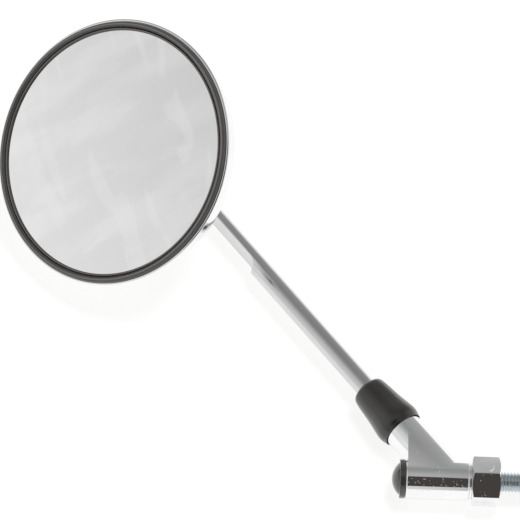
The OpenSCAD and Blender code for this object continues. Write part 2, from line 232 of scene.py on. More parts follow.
# %% Finishing helper
def finish_piece(bm, name, place, replaced, sharp=SHARP_ANGLE):
    """Place the mesh, shade it smooth up to an angle and let it stand for its solid"""
    bm.transform(place)
    bmesh.ops.recalc_face_normals(bm, faces=bm.faces)
    piece = loose_object(bm, name)
    for face in piece.data.polygons:
        face.use_smooth = True
    piece.data.set_sharp_from_angle(angle=sharp)
    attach(piece, frame["nodes"][replaced]["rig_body"])
    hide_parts(replaced)
    pieces[name] = piece
    print(name, "has", len(piece.data.polygons), "faces")
    return piece


# %% [markdown]
# ## The bowl
# The bowl is pressed from one sheet and its rim is rolled outward into a thin bead. Its outline is fuller than
# an ellipse, with a flat land at the back for the socket. It is spun as a closed section with both faces, so the
# sheet has its real thickness.

# %% Bowl
BOWL_FULLNESS = 2.5
SHEET = 0.8
BEAD = 0.8
LAND_R = 17.5
LAND_FIT = 0.05
RIM_LAP = 0.15
BOWL_PARTS = 60
HEAD_STEPS = 192
bowl_low, bowl_high = span("head_shell", ON_HEAD)
bowl_r = bowl_high.x - BEAD
bead_z = bowl_high.z - BEAD
rim_z = bowl_high.z + RIM_LAP
bowl_depth = rim_z - bowl_low.z
SOCKET_WALL = 1.55
PLAY = 0.06
SNUG = 0.02
housing_r = span("rear_ball_seat", ON_HEAD)[1].x + PLAY + SOCKET_WALL


def bowl_line(radius, depth, parts):
    """Fuller-than-elliptic outline from the rim to the edge of the land"""
    last = math.acos((LAND_R / radius) ** (BOWL_FULLNESS / 2))
    flat = math.sin(last) ** (2 / BOWL_FULLNESS)
    for i in range(parts + 1):
        a = last * i / parts
        yield Vector((radius * math.cos(a) ** (2 / BOWL_FULLNESS),
                      rim_z - depth / flat * math.sin(a) ** (2 / BOWL_FULLNESS)))


def bowl_section():
    hole_r = housing_r + LAND_FIT
    outside = [point for point in bowl_line(bowl_r, bowl_depth, BOWL_PARTS) if point.y < bead_z]
    inside = [point for point in bowl_line(bowl_r - SHEET, bowl_depth - SHEET, BOWL_PARTS) if point.y < bead_z]
    hole = [Vector((hole_r, rim_z - bowl_depth)), Vector((hole_r, rim_z - bowl_depth + SHEET))]
    bead = arc((bowl_r, bead_z), BEAD, 180, -90, 20)
    return bead + outside[1:] + hole + inside[::-1] + bead[:1]


finish_piece(turned(bowl_section(), steps=HEAD_STEPS), "bowl", ON_HEAD, "head_shell")

# %% [markdown]
# ## The rubber ring and the glass
# A rubber ring grips the glass and hides the cut edge of the bowl. Seen from the front it is a round bead with a
# smaller bead beside the glass, and the groove between them is what reads as a thin dark line. Both could be bent
# from round cord, but one closed outline, spun once about the head's axis, also gives the groove for the glass.

# %% Gasket
GASKET_STEP = 1.15
GLASS_T = 2.0
LIP_HALF = 0.5
LIP_RISE = 0.4
GROOVE_RISE = 0.25
GLASS_LAP = 1.6
BEAD_DROP = 0.25
POCKET_ROOM = 1.0
BACK_GAP = 0.35
BACK_FIT = 0.03
ring_low, ring_high = span("rim_gasket", ON_HEAD)
glass_low, glass_high = span("mirror_glass", ON_HEAD)
ring_r = ring_high.x
glass_r = glass_high.x
sight_r = glass_r - GLASS_LAP
glass_edge_z = glass_low.z + GLASS_T
bead_in_r = sight_r + GASKET_STEP
bead_half = (ring_r - bead_in_r) / 2
bead_top = ring_high.z - BEAD_DROP


def gasket_section():
    base_z = rim_z - RIM_LAP
    crown = [Vector((ring_r - bead_half + bead_half * math.cos(math.radians(a)),
                     base_z + (bead_top - base_z) * math.sin(math.radians(a))))
             for a in range(0, 181, 9)]
    lip = arc((sight_r + LIP_HALF, glass_edge_z + LIP_RISE), LIP_HALF, 0, 180, 10)
    step = rounded([crown[-1], (bead_in_r, glass_edge_z + GROOVE_RISE), lip[0]], 0.2)[:-1] + lip
    step.append(Vector((sight_r, glass_edge_z)))
    groove = [Vector((glass_r, glass_edge_z)), Vector((glass_r, glass_low.z - POCKET_ROOM)),
              Vector((sight_r, glass_low.z - POCKET_ROOM)), Vector((sight_r, ring_low.z))]
    inner_r = bowl_r - SHEET
    outside = [Vector((inner_r - BACK_GAP, ring_low.z)), Vector((inner_r - BACK_FIT, base_z)), crown[0]]
    return crown + step[1:] + groove + outside


finish_piece(turned(gasket_section(), steps=HEAD_STEPS), "rubber_ring", ON_HEAD, "rim_gasket")
print("ring", round(sight_r, 2), round(ring_r, 2), "glass", round(glass_edge_z, 2), "rim", round(rim_z, 2),
      "bead", round(bead_top, 2))

# %% [markdown]
# ## The glass
# The glass is a very flat dome, so that it shows a wider view than a plane mirror. Its front and back are parallel
# curves of large radius, and the outline between them is spun like the rest of the head.

# %% Glass
DOME_R = 1250.0
GLASS_PARTS = 24


def dome(radius):
    return math.sqrt(DOME_R ** 2 - radius ** 2) - math.sqrt(DOME_R ** 2 - glass_r ** 2)


def glass_section():
    radii = [glass_r * i / GLASS_PARTS for i in range(GLASS_PARTS + 1)]
    front = [Vector((r, glass_edge_z + dome(r))) for r in radii]
    back = [Vector((r, glass_low.z + dome(r))) for r in radii]
    return front + back[::-1]


finish_piece(turned(glass_section(), steps=HEAD_STEPS), "silvered_glass", ON_HEAD, "mirror_glass")

# %% [markdown]
# ## The socket
# Behind the bowl a round socket grips a ball on a short stud, and has an open mouth so that the stud can lean to
# each side. It is pressed from steel, and its flange is welded to the land of the bowl. One outline with an inside
# and an outside, spun about the head's axis, gives the wall its thickness.

# %% Socket housing
MOUTH_ANGLE = 46.6
FLANGE_T = 1.5
housing_high = span("socket_housing", ON_HEAD)[1]
flange_r = housing_high.x
land_z = rim_z - bowl_depth + SHEET


def housing_section():
    inner_r = housing_r - SOCKET_WALL
    housing_mouth = arc((0, 0), housing_r, -90 + MOUTH_ANGLE, 0, 24)
    cavity = arc((0, 0), inner_r, 0, -90 + MOUTH_ANGLE, 24)
    wall = rounded([housing_mouth[-1], (housing_r, land_z), (flange_r, land_z), (flange_r, land_z + FLANGE_T),
                    (housing_r, land_z + FLANGE_T), (housing_r, housing_high.z), (inner_r, housing_high.z),
                    cavity[0]], 0.25)
    return housing_mouth + wall[1:-1] + cavity + housing_mouth[:1]


finish_piece(turned(housing_section(), steps=96), "socket", ON_HEAD, "socket_housing")

# %% [markdown]
# ## The ball
# Ball and stud are turned from one bar. The stud is much thinner than the ball, which lets the head lean before the
# stud meets the mouth of the socket. It is one arc and one straight line, spun together.

# %% Ball stud
BALL_NECK_R = 2.5
ball_low, ball_high = span("ball_stud", ON_HEAD)
ball_r = ball_high.z


def ball_section():
    meet = math.degrees(math.acos(BALL_NECK_R / ball_r))
    ball = arc((0, 0), ball_r, 90, -meet, 40)
    shank = rounded([ball[-1], (BALL_NECK_R, -ball_r - 1), (BALL_NECK_R, ball_low.z), (0, ball_low.z)], 0.4)
    return ball + shank[1:]


finish_piece(turned(ball_section(), steps=96), "ball_and_stud", ON_HEAD, "ball_stud")

# %% [markdown]
# ## The knuckle
# The stud of the ball stands in a block that is clamped on the end of the stem. The block is a short round bar with
# a boss on its side. Two turned shapes are joined, and the holes for the stem and for the grub screw are cut last,
# because a hole that crosses both shapes is hard to leave open while they are made.

# %% Knuckle block
BOSS_R = 4.8
BLOCK_CORNER = 2.0
BOSS_CORNER = 0.5
block_low, block_high = span("knuckle_block", ON_STEM)
stem_low, stem_high = span("stem_rod", ON_STEM)
block_r = min(-block_low.x, -block_low.y)
stem_r = -stem_low.x
ball_offset = (ON_STEM.inverted() @ ON_HEAD.translation).xy.length / MM


def knuckle():
    body = turned(rounded([(0, block_low.z), (block_r - BLOCK_CORNER, block_low.z),
                           (block_r, block_low.z + BLOCK_CORNER), (block_r, block_high.z - BLOCK_CORNER),
                           (block_r - BLOCK_CORNER, block_high.z), (0, block_high.z)], 1.2), 96)
    body.transform(ON_STEM)
    boss_top = span("knuckle_block", ON_HEAD)[1].z
    boss = turned(rounded([(0, -ball_offset), (BOSS_R, -ball_offset), (BOSS_R, boss_top - 0.1),
                           (BOSS_R - BOSS_CORNER, boss_top), (0, boss_top)], 0.3), 64)
    boss.transform(ON_HEAD)
    whole = joined(body, boss, "UNION")
    hole = turned([(0, block_low.z - 1), (stem_r + PLAY, block_low.z - 1), (stem_r + PLAY, stem_high.z),
                   (0, stem_high.z)], 64)
    hole.transform(ON_STEM)
    whole = joined(whole, hole, "DIFFERENCE")
    grub_low, grub_high = span("grub_screw", ON_STEM)
    grub_r = (grub_high.z - grub_low.z) / 2
    grub_hole = turned([(0, 0), (grub_r + SNUG, 0), (grub_r + SNUG, 2 * block_r), (0, 2 * block_r)], 48)
    grub_hole.transform(ON_STEM @ Matrix.Translation((0, 0, (grub_low.z + grub_high.z) / 2 * MM))
                        @ Matrix.Rotation(math.pi / 2, 4, "Y"))
    return joined(whole, grub_hole, "DIFFERENCE")


finish_piece(knuckle(), "knuckle", Matrix.Identity(4), "knuckle_block")

# %% [markdown]
# ## The stem
# The stem is bright drawn rod with a long flat milled on one side, from behind the bowl to a round run-out left
# by the cutter. The flat could be bisected, but the run-out couldn't, so the cutter is drawn as a second mesh and
# taken away from the rod. The extra rings beside the run-out keep the shading of the round part true.

# %% Stem
RUNOUT_R = 5.0
FLAT_DEPTH = 3.0
FLAT_FROM = 126.0
END_CHAMFER = 0.6
CUTTER_SIZE = (10, 12)
flat_x = stem_r - FLAT_DEPTH


def milling_cutter():
    width, depth = CUTTER_SIZE
    length = stem_high.z + 2 - FLAT_FROM
    bed = block((width, depth, length), (flat_x + width / 2, 0, FLAT_FROM + length / 2))
    nose = bar(96, RUNOUT_R, depth + 2)
    nose.transform(Matrix.Translation(((flat_x + RUNOUT_R) * MM, 0, FLAT_FROM * MM))
                   @ Matrix.Rotation(math.pi / 2, 4, "X"))
    return joined(bed, nose, "UNION")


def stem():
    outline = rounded([(0, stem_low.z), (stem_r - END_CHAMFER, stem_low.z), (stem_r, stem_low.z + END_CHAMFER),
                       (stem_r, FLAT_FROM - 2 * RUNOUT_R), (stem_r, FLAT_FROM + RUNOUT_R),
                       (stem_r, stem_high.z - END_CHAMFER), (stem_r - END_CHAMFER, stem_high.z),
                       (0, stem_high.z)], 0.2, 2)
    return joined(turned(outline, 128), milling_cutter(), "DIFFERENCE")


finish_piece(stem(), "stem", ON_STEM, "stem_rod", sharp=math.radians(8))

# %% [markdown]
# ## The rubber boot
# The boot grips the stem at its top and hangs over the neck like a small bell. Its outline is a smooth curve
# through a few measured points, and the inside is a plain pocket that clears the lock nut.

# %% Boot
boot_low, boot_high = span("dust_boot", ON_STEM)
boot_l = boot_high.z - boot_low.z
belly_r = (boot_high.y - boot_low.y) / 2
MOUTH_R = 7.85
LIP_R = 8.35
WAIST_R = 8.0
TOP_R = 7.1
POCKET = 10.9
BELLY_Z = 4.0
WAIST_Z = 11.5
SHOULDER = 3.2


def smooth_curve(points, parts):
    """Points on a curve that passes through the given ones"""
    points = [Vector(point) for point in points]
    for i in range(len(points) - 1):
        a, b = points[max(i - 1, 0)], points[i]
        c, d = points[i + 1], points[min(i + 2, len(points) - 1)]
        for k in range(parts):
            t = k / parts
            yield 0.5 * (2 * b + (c - a) * t + (2 * a - 5 * b + 4 * c - d) * t * t
                         + (3 * b - 3 * c + d - a) * t ** 3)
    yield points[-1]


def boot_section():
    outline = [(LIP_R - 0.1, 0), (LIP_R + 0.1, 0.6), (belly_r, BELLY_Z), (WAIST_R, WAIST_Z),
               (TOP_R, boot_l - SHOULDER),
               (TOP_R - 0.6, boot_l - 0.9), (TOP_R - 1.7, boot_l)]
    outside = [point + Vector((0, boot_low.z)) for point in smooth_curve(outline, 8)]
    inside = rounded([(stem_r + SNUG, boot_l), (stem_r + SNUG, POCKET + 4), (MOUTH_R - 0.3, POCKET),
                      (MOUTH_R, 6), (MOUTH_R, 0.4), (MOUTH_R + 0.2, 0)], 0.6)
    inside = [point + Vector((0, boot_low.z)) for point in inside]
    return inside + outside + inside[:1]


finish_piece(turned(boot_section(), 128), "boot", ON_STEM, "dust_boot")

# %% [markdown]
# ## The joint body
# The barrel, the neck and the web between them are one casting, plated all over. Barrel and neck are turned shapes,
# the web is a plate that ends just inside the barrel's end, and the bores are cut from the three together, because
# each of them passes through more than one shape.

# %% Joint body
EDGE = 0.5
joint_low, joint_high = span("joint_body", ON_STUD)
barrel_r = -joint_low.x
neck_top = span("stem_lock_nut", ON_STEM)[0].z
NECK_R = 7.7
WEB_T = 15.0
WEB_INSET = 0.8
WEB_SIZE = 40
NECK_BARE = 5
bush_low, bush_high = span("pivot_bush", ON_STUD)
bush_r = bush_high.x
cap_low, cap_high = span("end_cap", ON_STUD)
CAP_SPIGOT = 3.0
barrel_from, barrel_to = cap_high.z - CAP_SPIGOT, joint_high.z
WASHER_ROOM = 0.4
counterbore_r = span("bolt_washer", ON_STUD)[1].x + WASHER_ROOM


def web_plate():
    """Plate left of the stem's axis and right of the barrel's end, above the stud's axis"""
    plate = block((WEB_SIZE, WEB_SIZE, WEB_T), (barrel_from + WEB_INSET + WEB_SIZE / 2, WEB_SIZE / 2, 0))
    cut_off(plate, ON_STEM.translation, Vector((stem_axis.y, -stem_axis.x, 0)))
    cut_off(plate, ON_STEM.translation + stem_axis * (neck_top - NECK_BARE) * MM, stem_axis)
    bmesh.ops.recalc_face_normals(plate, faces=plate.faces)
    return plate


def joint_casting():
    barrel = turned(rounded([(0, barrel_from), (barrel_r - EDGE, barrel_from), (barrel_r, barrel_from + EDGE),
                             (barrel_r, barrel_to - EDGE), (barrel_r - EDGE, barrel_to), (0, barrel_to)], 0.3), 160)
    barrel.transform(ON_STUD)
    neck = turned(rounded([(0, 0), (NECK_R, 0), (NECK_R, neck_top - EDGE), (NECK_R - EDGE, neck_top),
                           (0, neck_top)], 0.3), 128)
    neck.transform(ON_STEM)
    whole = joined(joined(barrel, neck, "UNION"), web_plate(), "UNION")
    stem_hole = turned([(0, stem_low.z - 0.5), (stem_r + PLAY, stem_low.z - 0.5), (stem_r + PLAY, neck_top + 1),
                        (0, neck_top + 1)], 64)
    stem_hole.transform(ON_STEM)
    stud_hole = turned([(0, barrel_from - 1), (counterbore_r, barrel_from - 1), (counterbore_r, bush_low.z),
                        (bush_r + SNUG, bush_low.z), (bush_r + SNUG, barrel_to + 1), (0, barrel_to + 1)], 96)
    stud_hole.transform(ON_STUD)
    return joined(joined(whole, stem_hole, "DIFFERENCE"), stud_hole, "DIFFERENCE")


finish_piece(joint_casting(), "joint_casting", Matrix.Identity(4), "joint_body", sharp=math.radians(25))

# %% [markdown]
# ## The end cap
# The end cap is a moulded plug with a thick rim, a low dome and a spigot that snaps into the barrel. All of it is
# round, so one outline holds the three.

# %% End cap
CAP_RIM = 2.2
CAP_STEP = 1.3
CAP_WALL = 1.2
CAP_FLOOR = 1.0


def cap_section():
    rim_r = cap_high.y
    left, right = -barrel_from, -cap_low.z
    dome_h = right - left - CAP_RIM
    dome_r = rim_r - CAP_STEP
    ball = (dome_r ** 2 + dome_h ** 2) / (2 * dome_h)
    low_angle = math.degrees(math.acos(dome_r / ball))
    top = arc((0, right - ball), ball, low_angle, 90, 20)
    spigot_r = counterbore_r - SNUG
    hollow_r = spigot_r - CAP_WALL
    rim = rounded([(hollow_r, left + CAP_FLOOR), (hollow_r, -cap_high.z), (spigot_r, -cap_high.z),
                   (spigot_r, left), (rim_r, left), (rim_r, left + CAP_RIM), top[0]], 0.35)
    return [Vector((0, left + CAP_FLOOR))] + rim[:-1] + top


finish_piece(turned(cap_section(), 96), "end_plug", ON_STUD @ Matrix.Rotation(math.pi, 4, "X"), "end_cap")


# %% [markdown]
# ## The washers
# One thin washer lies between the nut and the barrel, and another under the head of the bolt. They are punched from
# sheet, which leaves slightly rounded edges. Both come from one outline that takes its size from the solid.

# %% Washers
WASHER_HOLE_R = 4.2


def flat_ring(node):
    low, high = span(node, ON_STUD)
    start = (WASHER_HOLE_R, (low.z + high.z) / 2)
    edge = rounded([start, (WASHER_HOLE_R, low.z), (high.x, low.z), (high.x, high.z), (WASHER_HOLE_R, high.z),
                    start], 0.2)
    return turned(edge, 96)


finish_piece(flat_ring("thrust_washer"), "outer_washer", ON_STUD, "thrust_washer")
finish_piece(flat_ring("bolt_washer"), "inner_washer", ON_STUD, "bolt_washer")


# %% [markdown]
# ## The nuts
# A hexagon nut is cut from six-sided bar, and its corners are turned off at both ends. Here too, a prism is kept
# only where a turned shape also is. Straight bevels on the corners wouldn't give the curved edges.

# %% Hexagon nuts
FACE_SHARE = 0.98
CORNER_SLOPE = math.radians(25)
CORNER_ROUND = 0.25
BORE_CHAMFER = 0.6
NUT_BORE_R = 3.62


def hexagon_nut(low_z, high_z, corner_r, bore_r, turn):
    face_r = corner_r * math.cos(math.pi / 6) * FACE_SHARE
    wide_r = corner_r + 1
    drop = (wide_r - face_r) * math.tan(CORNER_SLOPE)
    prism = bar(6, corner_r, high_z - low_z)
    prism.transform(Matrix.Rotation(turn - math.pi / 2, 4, "Z")
                    @ Matrix.Translation((0, 0, (low_z + high_z) / 2 * MM)))
    upright = [edge for edge in prism.edges if abs(edge.verts[0].co.z - edge.verts[1].co.z) > MM]
    bmesh.ops.bevel(prism, geom=upright, offset=CORNER_ROUND * MM, offset_type="OFFSET", segments=3,
                    profile=0.5, affect="EDGES", material=-1)
    envelope = turned([(0, low_z), (face_r, low_z), (wide_r, low_z + drop), (wide_r, high_z - drop),
                       (face_r, high_z), (0, high_z)], 192)
    mouth_r = bore_r + BORE_CHAMFER
    bore = turned([(0, low_z - 0.1), (mouth_r, low_z - 0.1), (bore_r, low_z + BORE_CHAMFER),
                   (bore_r, high_z - BORE_CHAMFER), (mouth_r, high_z + 0.1), (0, high_z + 0.1)], 96)
    return joined(joined(prism, envelope, "INTERSECT"), bore, "DIFFERENCE")


def corner_of(node, place):
    """Radius and angle of the corner that stands farthest from the axis"""
    back = place.inverted()
    far = max((back @ vertex.co / MM for vertex in frame["nodes"][node].data.vertices), key=lambda p: p.xy.length)
    return far.xy.length, math.atan2(far.y, far.x)


for name, node, place, bore_r in (("big_nut", "hex_nut", ON_STUD, NUT_BORE_R),
                                  ("lock_nut", "stem_lock_nut", ON_STEM, stem_r + PLAY)):
    nut_low, nut_high = span(node, place)
    nut = hexagon_nut(nut_low.z, nut_high.z, corner_of(node, place)[0], bore_r, corner_of(node, place)[1])
    finish_piece(nut, name, place, node, sharp=math.radians(20))

# %% [markdown]
# ## The threaded stud
# A thread is a groove that climbs by one pitch in each turn. It is rolled into a plain stud. One zigzag line with a
# tooth for each pitch is spun once round while it also rises by one pitch, so that every tooth ends where the next
# one starts, and flat cuts then give the thread its two ends.

# %% Thread
PITCH = 1.25
THREAD_DEPTH = 0.72
ROOT_END = 0.16
CREST_START = 0.55
CREST_END = 0.72
THREAD_STEPS = 72
SPARE_TURNS = 2
TIP_CHAMFER = 1.0
MAJOR_R = 4.0


def thread(from_z, to_z):
    turns = int((to_z - from_z) / PITCH) + 2 * SPARE_TURNS
    start = from_z - SPARE_TURNS * PITCH
    root_r = MAJOR_R - THREAD_DEPTH
    line = []
    for i in range(turns):
        z = start + i * PITCH
        line += [(root_r, z), (root_r, z + ROOT_END), (MAJOR_R, z + CREST_START), (MAJOR_R, z + CREST_END)]
    line.append((root_r, start + turns * PITCH))
    bm = bmesh.new()
    verts = [bm.verts.new((r * MM, 0, z * MM)) for r, z in line]
    edges = [bm.edges.new(pair) for pair in zip(verts, verts[1:])]
    bmesh.ops.spin(bm, geom=verts + edges, cent=(0, 0, 0), axis=(0, 0, 1), dvec=(0, 0, PITCH * MM / THREAD_STEPS),
                   angle=2 * math.pi, steps=THREAD_STEPS, use_merge=False, use_duplicate=False)
    bmesh.ops.remove_doubles(bm, verts=bm.verts, dist=2 * MERGE * MM)
    cut_off(bm, (0, 0, from_z * MM), (0, 0, -1))
    cut_off(bm, (0, 0, to_z * MM), (0, 0, 1))
    for vert in bm.verts:
        allowed = (MAJOR_R - TIP_CHAMFER + (to_z - vert.co.z / MM)) * MM
        radius = vert.co.xy.length
        if radius > allowed:
            vert.co.x *= allowed / radius
            vert.co.y *= allowed / radius
    bmesh.ops.recalc_face_normals(bm, faces=bm.faces)
    return bm


# %% [markdown]
# ## The pivot bolt
# The thread belongs to a bolt whose head sits inside the barrel. The head has a hexagon socket for the key, and its
# plain shank runs in the bush. The shank is turned, the socket is cut, and the thread is set round the core.

# %% Pivot bolt
HEAD_H = 5.5
HEAD_CHAMFER = 0.6
KEY_R = 5 / 2 / math.cos(math.pi / 6)
KEY_DEPTH = 3.0
SHANK_R = 3.95
CORE_R = 3.6
CORE_END = -0.6
THREAD_FROM = -0.5
bolt_low, bolt_high = span("pivot_bolt", ON_STUD)


def bolt():
    head_r, head_z = bolt_high.y, bolt_low.z + HEAD_H
    outline = [(0, bolt_low.z), (head_r - HEAD_CHAMFER, bolt_low.z), (head_r, bolt_low.z + HEAD_CHAMFER),
               (head_r, head_z), (SHANK_R, head_z), (SHANK_R, barrel_to), (CORE_R, barrel_to),
               (CORE_R, CORE_END), (0, CORE_END)]
    body = turned(rounded(outline, 0.15), 96)
    key = bar(6, KEY_R, 2 * KEY_DEPTH)
    key.transform(Matrix.Translation((0, 0, bolt_low.z * MM)))
    body = joined(body, key, "DIFFERENCE")
    rod = bpy.data.meshes.new("thread_only")
    cut_thread = thread(THREAD_FROM, bolt_high.z)
    cut_thread.to_mesh(rod)
    cut_thread.free()
    body.from_mesh(rod)
    bpy.data.meshes.remove(rod)
    return body


finish_piece(bolt(), "threaded_bolt", ON_STUD, "pivot_bolt", sharp=math.radians(40))

# %% [markdown]
# ## Helpers for the finishes
# A finish is a small tree of shader nodes. Wiring them one by one hides what the tree does, so a helper makes each
# node with its inputs already set or linked.

# %% Node helpers
FLOAT, VECTOR = "NodeSocketFloat", "NodeSocketVector"


def node_group(name, inputs, output):
    """Empty shader group with one number as its output"""
    group = bpy.data.node_groups.new(name, "ShaderNodeTree")
    for label, kind, value in inputs:
        socket = group.interface.new_socket(label, in_out="INPUT", socket_type=kind)
        if value is not None:
            socket.default_value = value
    group.interface.new_socket(output, in_out="OUTPUT", socket_type=FLOAT)
    return group, group.nodes.new("NodeGroupInput"), group.nodes.new("NodeGroupOutput")


def add(tree, kind, links=(), **settings):
    """Shader node of a kind such as TexNoise, with its settings, and inputs linked or set by name or index"""
    node = tree.nodes.new("ShaderNode" + kind)
    for key, value in settings.items():
        setattr(node, key, value)
    for socket, value in links:
        if isinstance(value, bpy.types.NodeSocket):
            tree.links.new(value, node.inputs[socket])
        else:
            node.inputs[socket].default_value = value
    return node


def maths(tree, operation, *values):
    """Result of one sum on numbers or sockets"""
    return add(tree, "Math", enumerate(values), operation=operation).outputs["Value"]


# %% [markdown]
# ## Shared effects
# Handled metal is never quite even. The first group gives a slow drift in polish, from soft noise that is stretched
# between two levels. Every finish uses it, so it is one group with its own scale and range.

# %% Drift group
drift_group, drift_in, drift_out = node_group(
    "slow_drift", [("Vector", VECTOR, None), ("Scale", FLOAT, 60.0), ("Low", FLOAT, 0.0), ("High", FLOAT, 1.0)],
    "Value")
noise = add(drift_group, "TexNoise", [("Vector", drift_in.outputs["Vector"]),
            ("Scale", drift_in.outputs["Scale"]), ("Detail", 4.0), ("Roughness", 0.6)])
spread = add(drift_group, "MapRange", [("Value", noise.outputs["Fac"]), ("From Min", 0.3),
             ("From Max", 0.7), ("To Min", drift_in.outputs["Low"]), ("To Max", drift_in.outputs["High"])])
drift_group.links.new(spread.outputs["Result"], drift_out.inputs["Value"])
print("group:", drift_group.name)

# %% [markdown]
# ## Specks
# Small pale specks and pits show where polished metal reflects something dark. Some cells of a Voronoi pattern are
# picked, and each picked one holds a dot of its own size, because even dots would look printed.

# %% Speck group
speck_group, speck_in, speck_out = node_group(
    "pale_specks", [("Vector", VECTOR, None), ("Scale", FLOAT, 2400.0), ("Share", FLOAT, 0.2),
                    ("Size", FLOAT, 0.42)], "Mask")
cells = add(speck_group, "TexVoronoi", [("Vector", speck_in.outputs["Vector"]),
            ("Scale", speck_in.outputs["Scale"])])
chosen = add(speck_group, "SeparateColor", [("Color", cells.outputs["Color"])])
picked = maths(speck_group, "LESS_THAN", chosen.outputs["Red"], speck_in.outputs["Share"])
size = maths(speck_group, "MULTIPLY", chosen.outputs["Green"], speck_in.outputs["Size"])
near = maths(speck_group, "LESS_THAN", cells.outputs["Distance"], size)
speck_group.links.new(maths(speck_group, "MULTIPLY", near, picked), speck_out.inputs["Mask"])
print("group:", speck_group.name)

# %% [markdown]
# ## Scratches
# A spanner and a cloth leave fine scratches that run one way. Stretched noise gives thin fibres, and a coarser
# noise keeps them to some patches, as wear does.

# %% Scratch group
scratch_group, scratch_in, scratch_out = node_group(
    "fine_scratches", [("Vector", VECTOR, None), ("Scale", FLOAT, 1500.0), ("Share", FLOAT, 0.5)], "Mask")
stretched = add(scratch_group, "Mapping", [("Vector", scratch_in.outputs["Vector"]),
                ("Rotation", (0.4, 0.9, 0.7)), ("Scale", (1.0, 0.06, 1.0))])
fibres = add(scratch_group, "TexNoise", [("Vector", stretched.outputs["Vector"]),
             ("Scale", scratch_in.outputs["Scale"]), ("Detail", 2.0)])
thin = add(scratch_group, "MapRange", [("Value", fibres.outputs["Fac"]), ("From Min", 0.62),
           ("From Max", 0.67)])
patches = add(scratch_group, "TexNoise", [("Vector", scratch_in.outputs["Vector"]), ("Scale", 90.0)])
some = maths(scratch_group, "GREATER_THAN", patches.outputs["Fac"], scratch_in.outputs["Share"])
scratch_group.links.new(maths(scratch_group, "MULTIPLY", thin.outputs["Result"], some), scratch_out.inputs["Mask"])
print("group:", scratch_group.name)

# %% [markdown]
# ## A finish for metals
# Plated metal is a mirror whose roughness drifts a little, and it is pale and plain at specks, pits and scratches.
# One function makes all the metals, which keeps them alike.

# %% Metal function
FLAW_TONE = (0.78, 0.77, 0.74)
FLAW_ROUGHNESS = 0.5
SPECK_FADE = 0.0015
STRAY_SPECKS = 0.01


def new_material(name):
    material = bpy.data.materials.new(name)
    material.use_nodes = True
    tree = material.node_tree
    shader = tree.nodes["Principled BSDF"]
    place = add(tree, "TexCoord").outputs["Object"]
    return material, tree, shader, place


def use_group(tree, group, links):
    return add(tree, "Group", links, node_tree=group).outputs[0]


def blend_colours(tree, factor, first, second):
    mix = add(tree, "Mix", [("Factor", factor)], data_type="RGBA")
    for socket, value in ((mix.inputs[6], first), (mix.inputs[7], second)):
        if isinstance(value, bpy.types.NodeSocket):
            tree.links.new(value, socket)
        else:
            socket.default_value = (*value, 1.0)
    return mix.outputs[2]


def metal(name, bright, dull, polish, specks=0.0, scratches=1.0, drift_scale=70.0, speck_front=None):
    """Polished or plated metal. polish is the lowest and highest roughness, and specks can keep to the front"""
    material, tree, shader, place = new_material(name)
    if speck_front is not None:
        depth = add(tree, "SeparateXYZ", [("Vector", place)]).outputs["Y"]
        specks = add(tree, "MapRange", [
            ("Value", depth), ("From Min", speck_front + SPECK_FADE), ("From Max", speck_front),
            ("To Min", STRAY_SPECKS), ("To Max", specks)]).outputs["Result"]
    tone = use_group(tree, drift_group, [("Vector", place), ("Scale", drift_scale)])
    dust = use_group(tree, speck_group, [("Vector", place), ("Share", specks)])
    marks = use_group(tree, scratch_group, [("Vector", place), ("Share", scratches)])
    rough = use_group(tree, drift_group, [("Vector", place), ("Scale", drift_scale * 3), ("Low", polish[0]),
                                          ("High", polish[1])])
    flaw = maths(tree, "MAXIMUM", dust, marks)
    colour = blend_colours(tree, flaw, blend_colours(tree, tone, bright, dull), FLAW_TONE)
    tree.links.new(colour, shader.inputs["Base Color"])
    tree.links.new(maths(tree, "MULTIPLY_ADD", flaw, FLAW_ROUGHNESS, rough), shader.inputs["Roughness"])
    tree.links.new(maths(tree, "SUBTRACT", 1.0, flaw), shader.inputs["Metallic"])
    return material


# %% [markdown]
# ## The metals
# Chrome has a faint blue-grey cast. The joint has the most specks, and they keep to its front. The nut shows the
# marks of the spanner. The stem is drawn rod with a softer chrome, and its greyer base colour is painted shade that
# stands in for the shadowed floor it reflects. Zinc plate is duller and slightly blue-green, springs are dark
# tempered steel, and the bush is bronze.

# %% Metals
chrome = metal("polished_chrome", (0.94, 0.945, 0.95), (0.90, 0.905, 0.91), (0.03, 0.07), specks=0.03)
joint_chrome = metal("specked_chrome", (0.94, 0.945, 0.95), (0.90, 0.905, 0.91), (0.03, 0.07), specks=0.24,
                     scratches=0.70, speck_front=-0.0045)
nut_chrome = metal("scratched_chrome", (0.92, 0.925, 0.94), (0.87, 0.875, 0.89), (0.05, 0.10), specks=0.02,
                   scratches=0.52)
# The stem's darker base colour is painted shade for the shadowed floor it reflects; its softer polish is roughness.
stem_metal_painted_shade = metal("painted_shade_stem_finish", (0.69, 0.69, 0.70), (0.66, 0.66, 0.67), (0.14, 0.20), specks=0.01)
zinc = metal("zinc_plate", (0.72, 0.78, 0.80), (0.60, 0.66, 0.68), (0.16, 0.28), specks=0.02)
spring_steel = metal("blued_spring_steel", (0.36, 0.36, 0.39), (0.22, 0.21, 0.22), (0.25, 0.40))
bronze = metal("bearing_bronze", (0.66, 0.47, 0.24), (0.50, 0.34, 0.17), (0.22, 0.36))
print("metals:", chrome.name, joint_chrome.name, nut_chrome.name, stem_metal_painted_shade.name, zinc.name, bronze.name)

# %% [markdown]
# ## Rubber and plastic
# Rubber is dark grey rather than black, with a broad soft gloss and a very fine skin. Nylon and foam are made by
# the same function with more roughness, because what they share is an uneven moulded surface.

